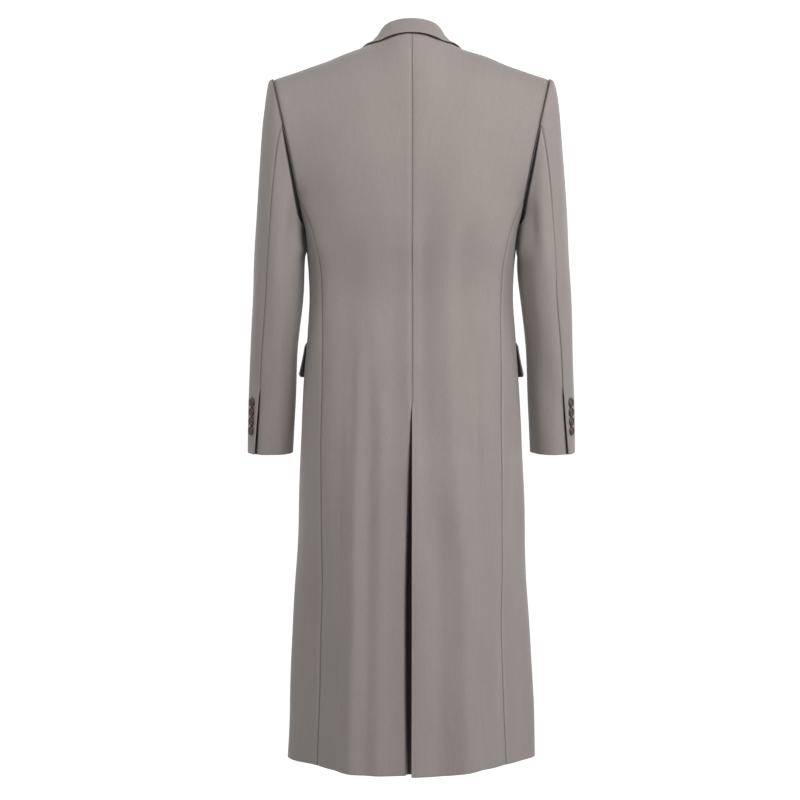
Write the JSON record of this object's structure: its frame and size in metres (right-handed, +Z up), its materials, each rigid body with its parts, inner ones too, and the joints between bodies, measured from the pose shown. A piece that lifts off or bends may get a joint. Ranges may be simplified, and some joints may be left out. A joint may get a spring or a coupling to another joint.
{
  "type": "long overcoat",
  "caption": "Long tailored overcoat worn with no wearer, with a folded collar, lapels, two-piece sleeves, hip flaps and an open centre-back vent",
  "frame": {"origin": "between the shoulders at the base of the neck, where the wearer's shoulders hold the coat up", "axes": "+Z up along the body; -Y out of the front of the coat; +X to the wearer's left"},
  "size_m": [0.5556, 0.333, 1.2407],
  "materials": {
    "coat_cloth": "matt grey worsted wool with a faint vertical grain",
    "horn": "dark brown polished horn"
  },
  "bodies": {
    "root": {"back_left": "coat_cloth", "back_right": "coat_cloth", "side_left": "coat_cloth", "side_right": "coat_cloth", "front_left": "coat_cloth", "front_right": "coat_cloth", "sleeve_top_left": "coat_cloth", "sleeve_top_right": "coat_cloth", "sleeve_under_left": "coat_cloth", "sleeve_under_right": "coat_cloth", "lapel_left": "coat_cloth", "lapel_right": "coat_cloth", "flap_left": "coat_cloth", "flap_right": "coat_cloth", "collar": "coat_cloth", "cuff_button_left_1": "horn", "cuff_button_left_2": "horn", "cuff_button_left_3": "horn", "cuff_button_left_4": "horn", "cuff_button_right_1": "horn", "cuff_button_right_2": "horn", "cuff_button_right_3": "horn", "cuff_button_right_4": "horn", "front_button_1": "horn", "front_button_2": "horn", "front_button_3": "horn"}
  },
  "joints": []
}
